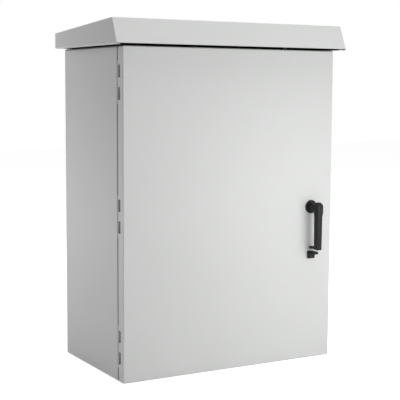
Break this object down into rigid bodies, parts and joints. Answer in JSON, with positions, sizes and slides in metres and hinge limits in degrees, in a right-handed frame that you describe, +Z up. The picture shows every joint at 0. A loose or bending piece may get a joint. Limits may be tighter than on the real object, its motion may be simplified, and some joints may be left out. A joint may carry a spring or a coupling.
{
  "type": "traffic signal controller cabinet",
  "caption": "Wall-mounted sheet-steel controller cabinet with a sloping rain hood, one side-hinged door, an L lever that drives a rod lock, and signal control gear inside.",
  "frame": {"origin": "centre of the cabinet's flat base, on the surface it stands on when it is set down", "axes": "+Z up, +Y to the wall behind, -Y out of the door, +X to the door's free edge"},
  "size_m": [0.652, 0.3945, 0.8633],
  "materials": {
    "grey_paint": "light grey powder coat, fine texture, semi-matt",
    "zinc_sheet": "zinc-plated sheet",
    "zinc_fastener": "zinc-plated fasteners",
    "hinge_casting": "grey coated casting",
    "bright_steel": "turned and milled steel",
    "black_nylon": "glass-filled nylon, satin",
    "grey_plastic": "moulded plastic",
    "duct_plastic": "extruded plastic",
    "black_rubber": "foamed sealing rubber",
    "module_front": "anodised fronts on boards",
    "power_supply_case": "dark painted steel",
    "breaker_moulding": "white-grey moulding",
    "toggle_moulding": "black moulding",
    "terminal_moulding": "grey moulding",
    "earth_brass": "plain brass"
  },
  "bodies": {
    "cabinet": {"body_shell": "grey_paint", "cable_grommets": "black_rubber", "circuit_breaker_1": "breaker_moulding", "circuit_breaker_2": "breaker_moulding", "circuit_breaker_3": "breaker_moulding", "controller_rack": "zinc_sheet", "duct_lid_lower": "duct_plastic", "duct_lid_upper": "duct_plastic", "earth_bar": "earth_brass", "gland_gasket": "black_rubber", "gland_plate": "zinc_sheet", "gland_screws": "zinc_fastener", "hinge_lower_body_leaf": "hinge_casting", "hinge_lower_pin": "bright_steel", "hinge_middle_body_leaf": "hinge_casting", "hinge_middle_pin": "bright_steel", "hinge_screws": "zinc_fastener", "hinge_upper_body_leaf": "hinge_casting", "hinge_upper_pin": "bright_steel", "hood_bracket_left": "zinc_sheet", "hood_bracket_right": "zinc_sheet", "hood_fixings": "zinc_fastener", "lamp_switch_module_1": "module_front", "lamp_switch_module_2": "module_front", "lamp_switch_module_3": "module_front", "lamp_switch_module_4": "module_front", "mounting_plate": "zinc_sheet", "plate_nuts": "zinc_fastener", "plate_studs": "zinc_fastener", "power_supply": "power_supply_case", "processor_module": "module_front", "rail_breakers": "zinc_sheet", "rail_terminals": "zinc_sheet", "rain_hood": "grey_paint", "terminal_blocks": "terminal_moulding", "wiring_duct_lower": "duct_plastic", "wiring_duct_upper": "duct_plastic"},
    "door": {"door_panel": "grey_paint", "door_gasket": "black_rubber", "door_rail_left": "grey_paint", "door_rail_right": "grey_paint", "document_pocket": "grey_plastic", "handle_rosette": "black_nylon", "padlock_hasp": "black_nylon", "lock_case": "zinc_sheet", "rod_guide_upper": "grey_plastic", "rod_guide_lower": "grey_plastic", "hinge_lower_door_leaf": "hinge_casting", "hinge_middle_door_leaf": "hinge_casting", "hinge_upper_door_leaf": "hinge_casting"},
    "handle": {"handle_lever": "black_nylon", "lock_spindle": "bright_steel", "lock_pinion": "bright_steel", "latch_cam": "zinc_sheet", "cam_screw": "zinc_fastener"},
    "upper_rod": {"latch_rod_upper": "zinc_sheet"},
    "lower_rod": {"latch_rod_lower": "zinc_sheet"},
    "toggle_1": {"breaker_toggle_1": "toggle_moulding"},
    "toggle_2": {"breaker_toggle_2": "toggle_moulding"},
    "toggle_3": {"breaker_toggle_3": "toggle_moulding"}
  },
  "joints": [
    {"name": "door_hinge", "type": "hinge", "parent": "cabinet", "child": "door", "pos_m": [-0.292, -0.157, 0.4], "axis": [0, 0, 1], "range_deg": [-120, 0]},
    {"name": "handle_turn", "type": "hinge", "parent": "door", "child": "handle", "pos_m": [0.236, -0.175, 0.399], "axis": [0, 1, 0], "range_deg": [0, 90]},
    {"name": "upper_rod_slide", "type": "slide", "parent": "door", "child": "upper_rod", "axis": [0, 0, 1], "range_m": [-0.01885, 0]},
    {"name": "lower_rod_slide", "type": "slide", "parent": "door", "child": "lower_rod", "axis": [0, 0, 1], "range_m": [0, 0.01885]},
    {"name": "breaker_1_toggle", "type": "hinge", "parent": "cabinet", "child": "toggle_1", "pos_m": [-0.202, 0.0805, 0.43], "axis": [1, 0, 0], "range_deg": [0, 60]},
    {"name": "breaker_2_toggle", "type": "hinge", "parent": "cabinet", "child": "toggle_2", "pos_m": [-0.184, 0.0805, 0.43], "axis": [1, 0, 0], "range_deg": [0, 60]},
    {"name": "breaker_3_toggle", "type": "hinge", "parent": "cabinet", "child": "toggle_3", "pos_m": [-0.166, 0.0805, 0.43], "axis": [1, 0, 0], "range_deg": [0, 60]}
  ],
  "couplings": [
    {"joint": "upper_rod_slide", "follows": "handle_turn", "m_per_rad": -0.012},
    {"joint": "lower_rod_slide", "follows": "handle_turn", "m_per_rad": 0.012}
  ]
}
